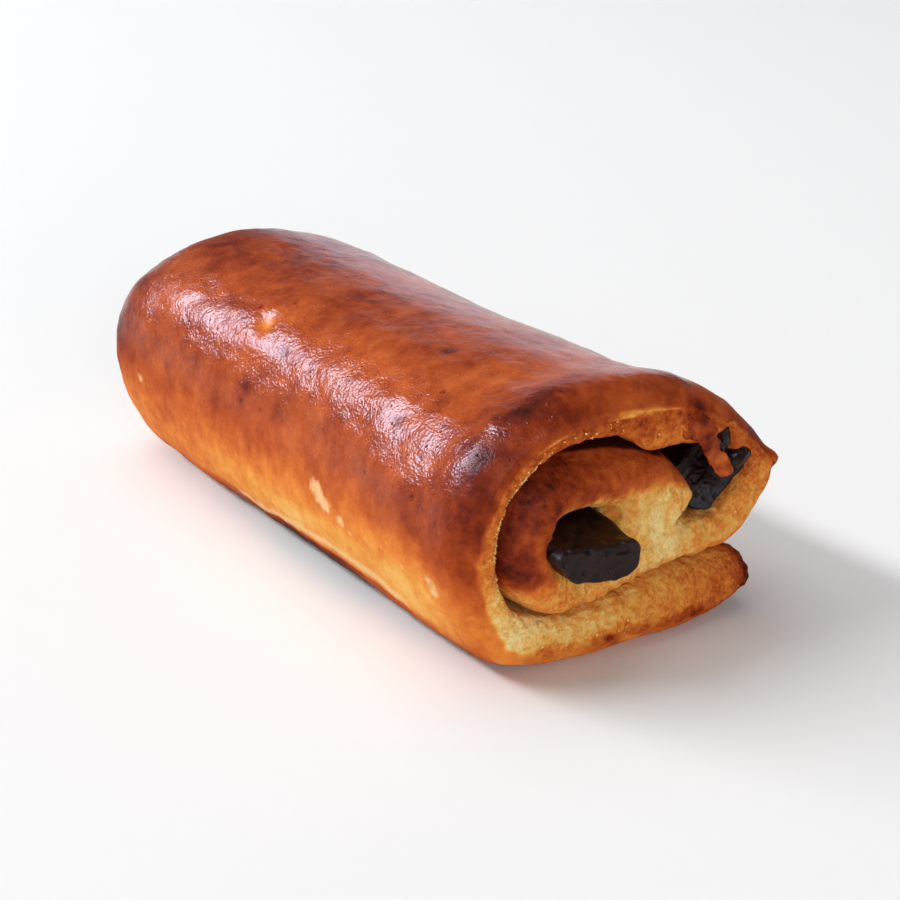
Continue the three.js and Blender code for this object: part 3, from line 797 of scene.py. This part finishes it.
# %% Shape the bars
MOST_LIFT = 0.1                # relief only cuts in, so that a bar stays in its tunnel
for name, bar, lean, sag, seed in (("inner_bar", INNER_BAR, None, worn_edge, 71),
                                   ("outer_bar", OUTER_BAR, broken_end, None, 81)):
    grid = bar_grid(bar, lean, sag)
    way = outward(grid)
    grid = grid + way * np.minimum(chocolate_relief(grid, seed), MOST_LIFT)[..., None]
    melt = smoothstep(0.2, 0.8, way[..., 2]) * smoothstep(bar["near"] - 0.2, bar["near"] - 1.5, grid[..., 0])
    piece = mesh_object(name, *capped(grid))
    paint(piece, melt=0.35 * melt + 0.2 * noise(grid, 3, seed + 4))
    finish_piece(piece, "chocolate", "chocolate_bar_" + name.split("_")[0])
inner_bar, outer_bar = bpy.data.objects["inner_bar"], bpy.data.objects["outer_bar"]

# %% [markdown]
# ## Melted chocolate
# A little chocolate melted and set again: two lumps on the end of the outer bar, round the torn
# strip, and a sliver at the left of the inner bar. One more dark lump of chocolate sits in the slot
# beside the strip and paints the shade in it. Metaballs would flow together, but they are hard to
# place. Ellipsoids with soft dents are enough at this size.

# %% Lumps
def pebble_grid(middle, half, rows=40, columns=56):
    """A round lump: an ellipsoid by its latitude and longitude, with soft dents."""
    up = np.linspace(0.02, np.pi - 0.02, rows)[:, None]
    round_ = -np.arange(columns) / columns * 2 * np.pi
    ball = np.stack([np.cos(up) + 0 * round_, np.sin(up) * np.cos(round_), np.sin(up) * np.sin(round_)], -1)
    grid = np.array(middle) + ball * np.array(half)
    return grid + ball * 0.18 * noise(grid, 1.6, 91)[..., None]


def lump(name, middle, half, lean=0.0):
    """A lump of chocolate, shiny as where chocolate melted and set again. Its top leans sideways by
    lean times its height."""
    grid = pebble_grid(middle, half)
    grid[..., 1] += lean * (grid[..., 2] - middle[2])
    piece = mesh_object(name, *capped(grid))
    paint(piece, melt=np.ones(len(piece.data.vertices)))
    finish_piece(piece, "chocolate")
    return piece


drop = lump("melted_drop", (55.3, 23.2, 25.4), (1.6, 2.4, 1.7))
# a dark lump of chocolate in the slot beside the strip, there to paint the slot's shade
slot_shade = lump("slot_shade_lump", (55.0, 20.4, 29.0), (0.9, 1.2, 2.3))
thread = lump("melted_thread", (56.5, 18.5, 28.1), (0.5, 0.5, 2.1), -0.45)
sliver = lump("melted_sliver", (56.6, -14.6, 19.6), (0.7, 1.7, 0.45))

# %% [markdown]
# ## The torn strip
# Where the roll was pulled open a strip of skin tore loose from the upper rim and hangs in front of
# the outer bar. A bevelled curve would be evenly thick. This is a flat tube on its own grid, whose
# width changes along the way down, with a ragged surface.

# %% Hang the strip
STRIP_PATH = [[55.6, 12.4, 35.0], [56.4, 12.9, 33.3], [56.9, 14.9, 31.3], [56.9, 16.1, 29.2],
              [57.0, 17.3, 26.9], [57.0, 18.6, 25.4], [56.8, 20.7, 24.0]]
STRIP_WIDTH = [5.0, 4.6, 3.6, 2.9, 2.9, 2.8, 1.4]
STRIP_THICK = 1.2


def strip_grid(rows=70, columns=40):
    """A flat oval carried along a curve: its long axis lies across the way down, and its size
    closes to nothing over the last tenth at each end."""
    at = np.linspace(0, len(STRIP_PATH) - 1, rows)
    line = through(STRIP_PATH, at)
    width = through(np.array(STRIP_WIDTH)[:, None], at)
    ahead = np.gradient(line, axis=0)
    ahead /= np.linalg.norm(ahead, axis=1, keepdims=True)
    across = np.stack([0 * at, ahead[:, 2], -ahead[:, 1]], -1)
    across /= np.linalg.norm(across, axis=1, keepdims=True)
    out = np.cross(ahead, across)
    share = np.minimum(at, at[-1] - at) / (0.1 * at[-1])
    close = np.sqrt(1 - (1 - np.clip(share, 0.02, 1)) ** 2)[:, None, None]
    angle = np.arange(columns) / columns * 2 * np.pi
    ring = (across[:, None] * width[:, None] / 2 * np.cos(angle)[:, None]
            + out[:, None] * STRIP_THICK / 2 * np.sin(angle)[:, None])
    return line[:, None] + ring * close


strip = strip_grid()
strip = strip + outward(strip) * waves(strip, (0.50, 2.0, 101), (0.36, 0.9, 102))[..., None]
torn_strip = mesh_object("torn_strip", *capped(strip))
strip_bake = 0.66 + 0.16 * smoothstep(25, 33, strip[..., 2]) + 0.16 * noise(strip, 1.6, 103)
paint(torn_strip, bake=strip_bake, wash=0.4 + 0 * strip_bake, bare=0 * strip_bake, crumb=0.3 + 0 * strip_bake)
finish_piece(torn_strip, "crust")

# %% [markdown]
# ## Crumbs
# Cutting a baked roll leaves crumbs along the cut. They are small rough grains, scattered on the
# near face of the sheet by a seeded draw. Particles would be lost when the mesh is exported, so the
# grains are joined into one mesh. A grain is an icosahedron: three crossed golden rectangles give
# its corners, and its faces are the triples of corners that all lie one side apart.

# %% One grain
CRUMBS, CRUMB_SIZES = 300, (0.07, 0.30)
golden = (1 + 5 ** 0.5) / 2
grain = np.array([v for a, b in product((-1, 1), (-golden, golden))
                  for v in ((0, a, b), (a, b, 0), (b, 0, a))], float) / np.hypot(1, golden)
gaps = np.linalg.norm(grain[:, None] - grain, axis=-1)
side = gaps[gaps > 0.1].min() * 1.01
grain_faces = [list(three) for three in product(range(12), repeat=3)
               if three[0] < three[1] and three[0] < three[2] and three[1] != three[2]
               and max(gaps[three[0], three[1]], gaps[three[1], three[2]], gaps[three[0], three[2]]) < side
               and np.linalg.det(grain[list(three)]) > 0]
print("a grain has", len(grain_faces), "faces")

# %% Scatter crumbs on the rim
rng = np.random.default_rng(7)
on_rim = (outer_turn > 1.1) & (outer_turn < 2.4) & (shell[..., 0] > 40)
rim, rim_turn = shell[on_rim], outer_turn[on_rim]
# most lie low on the left, along the inner edge of the rim
left_edge = (rim[:, 1] < -14) & (rim_turn > 1.8) & (rim[:, 2] > 8)
weight = np.where(left_edge, 6.0, np.where(rim[:, 1] < 2, 0.3, 0.1))
pick = rng.choice(len(rim), CRUMBS, replace=False, p=weight / weight.sum())
sizes = rng.uniform(*CRUMB_SIZES, (CRUMBS, 1, 3)) * rng.uniform(0.6, 1, (CRUMBS, 1, 1))
bumps = 1 + rng.normal(0, 0.3, (CRUMBS, 12, 1))
grains = rim[pick][:, None] + grain * bumps * sizes
grain_index = (np.arange(CRUMBS)[:, None, None] * 12 + np.array(grain_faces)).reshape(-1, 3)
crumbs = mesh_object("crumbs", grains.reshape(-1, 3), grain_index)
paint(crumbs, bake=np.repeat(rng.uniform(0.0, 0.3, CRUMBS), 12), wash=np.zeros(CRUMBS * 12),
      bare=np.zeros(CRUMBS * 12), crumb=np.ones(CRUMBS * 12))
finish_piece(crumbs, "crust")

# %% [markdown]
# ## Finishes
# Colours are written as they are seen, in sRGB, and one function turns them linear. Pattern scales
# are worked out from real sizes: a texture on object coordinates counts in metres, so a pattern
# with a pitch of so many millimetres has a scale of 1000 over that. Photographs could be used as
# textures, but nodes have no edges and show no repeat.

# %% Helpers for materials
def linear(code):
    """An sRGB hex colour as linear RGBA: ((c + 0.055) / 1.055)^2.4, and c / 12.92 near black."""
    channels = [int(code[i:i + 2], 16) / 255 for i in (1, 3, 5)]
    return [c / 12.92 if c <= 0.04045 else ((c + 0.055) / 1.055) ** 2.4 for c in channels] + [1.0]


def add(tree, kind, inputs=None, out=0, **settings):
    """Adds a shader node, sets its settings, fills or links its inputs by name or number, and gives
    back one of its outputs. In a Map Range, inputs 1 to 4 are the range it reads and the range it
    gives. A Math node on MULTIPLY_ADD gives input 0 times input 1, plus input 2."""
    node = tree.nodes.new("ShaderNode" + kind)
    for name, value in settings.items():
        setattr(node, name, value)
    for socket, value in (inputs or {}).items():
        if isinstance(value, bpy.types.NodeSocket):
            tree.links.new(value, node.inputs[socket])
        else:
            node.inputs[socket].default_value = value
    return node.outputs[out] if node.outputs else node


def new_material(name):
    """An empty node material and its tree."""
    material = bpy.data.materials.new(name)
    material.use_nodes = True
    material.node_tree.nodes.clear()
    return material, material.node_tree


def dress(material, shader, *pieces):
    """Puts the shader on the material's surface and the material on the pieces."""
    add(material.node_tree, "OutputMaterial", {"Surface": shader})
    for piece in pieces:
        piece.data.materials.clear()
        piece.data.materials.append(material)
    print(material.name, len(material.node_tree.nodes), "nodes, on", len(pieces), "pieces")


def per_mm(pitch):
    """Scale of a pattern, from its pitch in millimetres."""
    return 1000 / pitch


print("a pattern every 2 mm has the scale", per_mm(2))

# %% [markdown]
# ## Oven-browned, egg-washed crust
# Browned dough is a brown glass over crumb: sugar and egg dried to a thin film with an IOR of about
# 1.5. Its colour runs from pale crumb over gold and mahogany to burnt. The film is broken by fine
# wrinkles and pinhead blisters, which is what makes a highlight on it sparkle. Where the sheet was
# cut there is no film, only rough crumb. Two materials with a mask would do, but one that reads the
# four numbers of each point can fade from skin to crumb within a millimetre, as the rim does.

# %% Colour of the crust
CRUST_COLOURS = [(0.00, "#F9E09B"), (0.12, "#F4C877"), (0.25, "#EDA84F"), (0.38, "#E28638"),
                 (0.50, "#CE6B2C"), (0.62, "#B55222"), (0.74, "#973C16"), (0.85, "#732610"),
                 (0.93, "#50190D"), (1.00, "#301310")]
BARE_COLOUR = "#EFC68D"
FILM_IOR = 1.45

crust, tree = new_material("egg_washed_crust")
place = add(tree, "TexCoord", out="Object")
bake, wash, bare, crumb = (add(tree, "Attribute", out="Fac", attribute_name=name)
                           for name in ("bake", "wash", "bare", "crumb"))
mottle = add(tree, "TexNoise", {"Vector": place, "Scale": per_mm(2.6), "Detail": 7, "Roughness": 0.7})
mottle = add(tree, "MapRange", {0: mottle, 1: 0.3, 2: 0.7, 3: -0.085, 4: 0.085})
freckle = add(tree, "TexVoronoi", {"Vector": place, "Scale": per_mm(5.5)})
freckle = add(tree, "MapRange", {0: freckle, 1: 0.03, 2: 0.12, 3: 0.20, 4: 0.0})
pore = add(tree, "TexNoise", {"Vector": place, "Scale": per_mm(0.9), "Detail": 4, "Roughness": 0.7})
# painted shade in the crumb: darker where the pore noise sinks the surface, lighter where it raises it
painted_pore_shade = add(tree, "MapRange", {0: pore, 1: 0.35, 2: 0.62, 3: 0.10, 4: -0.10})
tone = add(tree, "Math", {0: bake, 1: mottle}, operation="ADD")
tone = add(tree, "Math", {0: freckle, 1: wash, 2: tone}, operation="MULTIPLY_ADD")
tone = add(tree, "Math", {0: painted_pore_shade, 1: crumb, 2: tone}, operation="MULTIPLY_ADD")
browned = add(tree, "ValToRGB", {"Fac": tone})
stops = browned.node.color_ramp.elements
while len(stops) < len(CRUST_COLOURS):
    stops.new(0.5)
for stop, (position, code) in zip(stops, CRUST_COLOURS):
    stop.position, stop.color = position, linear(code)
flake = add(tree, "TexNoise", {"Vector": place, "Scale": per_mm(1.4), "Detail": 4, "Roughness": 0.6})
flake = add(tree, "Math", {0: bare, 1: flake}, operation="ADD")
flake = add(tree, "MapRange", {0: flake, 1: 0.80, 2: 1.26, 3: 0.0, 4: 0.82})
colour = add(tree, "Mix", {0: flake, 6: browned, 7: linear(BARE_COLOUR)}, out=2, data_type="RGBA")
print("colour of the crust:", len(tree.nodes), "nodes")

# %% Relief and shine of the crust
wrinkle = add(tree, "TexNoise", {"Vector": place, "Scale": per_mm(1.15), "Detail": 2, "Distortion": 0.4})
crackle = add(tree, "TexNoise", {"Vector": place, "Scale": per_mm(0.4), "Detail": 1})
blister = add(tree, "TexVoronoi", {"Vector": place, "Scale": per_mm(1.5)})
skin_height = add(tree, "MapRange", {0: blister, 1: 0.0, 2: 0.15, 3: 0.22, 4: 0.0})
skin_height = add(tree, "Math", {0: crackle, 1: 0.08, 2: skin_height}, operation="MULTIPLY_ADD")
skin_height = add(tree, "Math", {0: wrinkle, 1: 0.115, 2: skin_height}, operation="MULTIPLY_ADD")
crater = add(tree, "TexVoronoi", {"Vector": place, "Scale": per_mm(1.3)})
crumb_height = add(tree, "MapRange", {0: crater, 1: 0.1, 2: 0.4, 3: -0.2, 4: 0.0})
crumb_height = add(tree, "Math", {0: pore, 1: 0.6, 2: crumb_height}, operation="MULTIPLY_ADD")
height = add(tree, "Mix", {0: crumb, 2: skin_height, 3: crumb_height})
bump = add(tree, "Bump", {"Height": height, "Distance": MM, "Strength": 1.0})
shader = add(tree, "BsdfPrincipled", {
    "Base Color": colour, "Roughness": add(tree, "MapRange", {0: wash, 3: 0.8, 4: 0.2}),
    "IOR": FILM_IOR, "Specular IOR Level": 0.04, "Normal": bump, "Coat Normal": bump,
    "Coat Weight": add(tree, "Math", {0: wash, 1: 0.32}, operation="MULTIPLY"),
    "Coat Roughness": 0.21, "Coat IOR": FILM_IOR})
dress(crust, shader, crust_sheet, heart, torn_strip, crumbs)

# %% [markdown]
# ## Baked dark chocolate
# Dark chocolate is nearly black with a red-brown cast. Its cut end dried matt in the oven, and the
# side that touched the dough melted and set again with a shine. One finish holds both, because the
# melt number of each place sets how rough it is.

# %% Chocolate material
CHOCOLATE_COLOURS = [(0.35, "#150805"), (0.7, "#2A140E")]

chocolate, tree = new_material("baked_dark_chocolate")
place = add(tree, "TexCoord", out="Object")
melt = add(tree, "Attribute", out="Fac", attribute_name="melt")
cloud = add(tree, "TexNoise", {"Vector": place, "Scale": per_mm(2.0), "Detail": 5})
colour = add(tree, "ValToRGB", {"Fac": cloud})
for stop, (position, code) in zip(colour.node.color_ramp.elements, CHOCOLATE_COLOURS):
    stop.position, stop.color = position, linear(code)
grit = add(tree, "TexNoise", {"Vector": place, "Scale": per_mm(0.6), "Detail": 3})
hole = add(tree, "TexVoronoi", {"Vector": place, "Scale": per_mm(1.5)})
hole = add(tree, "MapRange", {0: hole, 1: 0.05, 2: 0.3, 3: -0.14, 4: 0.0})
height = add(tree, "Math", {0: grit, 1: 0.14, 2: hole}, operation="MULTIPLY_ADD")
bump = add(tree, "Bump", {"Height": height, "Distance": MM, "Strength": 0.8})
shader = add(tree, "BsdfPrincipled", {
    "Base Color": colour, "Roughness": add(tree, "MapRange", {0: melt, 3: 0.48, 4: 0.15}),
    "IOR": 1.45, "Specular IOR Level": 0.25, "Normal": bump})
dress(chocolate, shader, inner_bar, outer_bar, drop, slot_shade, thread, sliver)

# %% [markdown]
# ## Floor, light and camera
# The roll lies on a plain pale floor in soft light from a window at the left. Three large lamps
# light the matt colours: the window, a weak one overhead, and one in front that opens the shadows.
# Three more show only as reflections, and set where the egg wash shines and how much. One lamp
# could do both, but then a stronger shine would also bleach the crust. The camera looks down from
# the front right.

# %% Stage
FLOOR_HALF, BOARD_COLOUR = 3.0, "#F4F4F4"

floor_mesh = bpy.data.meshes.new("floor")
floor_mesh.from_pydata([(-FLOOR_HALF, -FLOOR_HALF, 0), (FLOOR_HALF, -FLOOR_HALF, 0),
                        (FLOOR_HALF, FLOOR_HALF, 0), (-FLOOR_HALF, FLOOR_HALF, 0)], [], [(0, 1, 2, 3)])
floor = bpy.data.objects.new("floor", floor_mesh)
bpy.context.scene.collection.objects.link(floor)
paper, tree = new_material("pale_matt_board")
shader = add(tree, "BsdfPrincipled", {"Base Color": linear(BOARD_COLOUR), "Roughness": 0.9, "IOR": 1.3})
dress(paper, shader, floor)

# %% Light
LAMPS = [
    # name, way to the lamp, distance, size along the roll and across (metres), watts, and whether
    # it lights matt surfaces and shows in glossy ones
    ("window", (-1.00, -0.95, 1.05), 2.8, 2.3, 0.4, 60.0, True, False),
    ("overhead", (-0.35, -0.05, 1.0), 2.0, 1.8, 1.8, 15.0, True, False),
    ("front", (0.90, -0.35, 0.30), 2.4, 1.6, 1.0, 23.0, True, False),
    ("window_gloss", (-1.05, -1.22, 1.42), 2.8, 2.4, 1.2, 400.0, False, True),
    ("wall_gloss", (-0.77, 0.64, 0.13), 2.5, 1.0, 0.8, 4.0, False, True),
    ("front_gloss", (0.75, -0.30, 0.58), 2.4, 1.0, 1.0, 32.0, False, True),
]
SURROUND = 0.20
WHITE, WINDOW_BLUE = "#FFFFFF", "#DAE6FF"


def facing(right, up, back, at):
    """The placement of a lamp or a camera that looks away from back, with its middle at a point."""
    return Matrix.Translation(at) @ Matrix((right, up, back)).transposed().to_4x4()


for name, way, distance, along, across, watts, matt, gloss in LAMPS:
    lamp_data = bpy.data.lights.new(name, "AREA")
    lamp_data.shape, lamp_data.size, lamp_data.size_y, lamp_data.energy = "RECTANGLE", along, across, watts
    lamp_data.color = linear(WINDOW_BLUE if gloss else WHITE)[:3]
    back = Vector(way).normalized()
    up = back.cross(Vector((1, 0, 0))).normalized()
    lamp = bpy.data.objects.new(name, lamp_data)
    lamp.matrix_world = facing(up.cross(back), up, back, back * distance)
    lamp.visible_diffuse, lamp.visible_glossy = matt, gloss
    bpy.context.scene.collection.objects.link(lamp)

world = bpy.data.worlds.new("bright_room")
world.use_nodes = True
world.node_tree.nodes["Background"].inputs["Color"].default_value = linear(WHITE)
world.node_tree.nodes["Background"].inputs["Strength"].default_value = SURROUND
bpy.context.scene.world = world
bpy.context.scene.view_settings.view_transform = "Standard"
print("lamps:", len(LAMPS))

# %% Camera
CAMERA_AT = np.array([223.84, -152.25, 130.39])
CAMERA_BACK = Vector((0.74192, -0.53903, 0.39875)).normalized()
LENS, SENSOR = 70.0, 36.0

right = Vector((0, 0, 1)).cross(CAMERA_BACK).normalized()
up = CAMERA_BACK.cross(right)
camera_data = bpy.data.cameras.new("camera")
camera_data.lens, camera_data.sensor_width = LENS, SENSOR
camera_data.clip_start, camera_data.clip_end = 0.01, 20
camera = bpy.data.objects.new("camera", camera_data)
camera.matrix_world = facing(right, up, CAMERA_BACK, Vector((CAMERA_AT - ORIGIN) * MM))
bpy.context.scene.collection.objects.link(camera)
bpy.context.scene.camera = camera
print("the camera is", round(camera.location.length, 3), "m from the middle of the base")
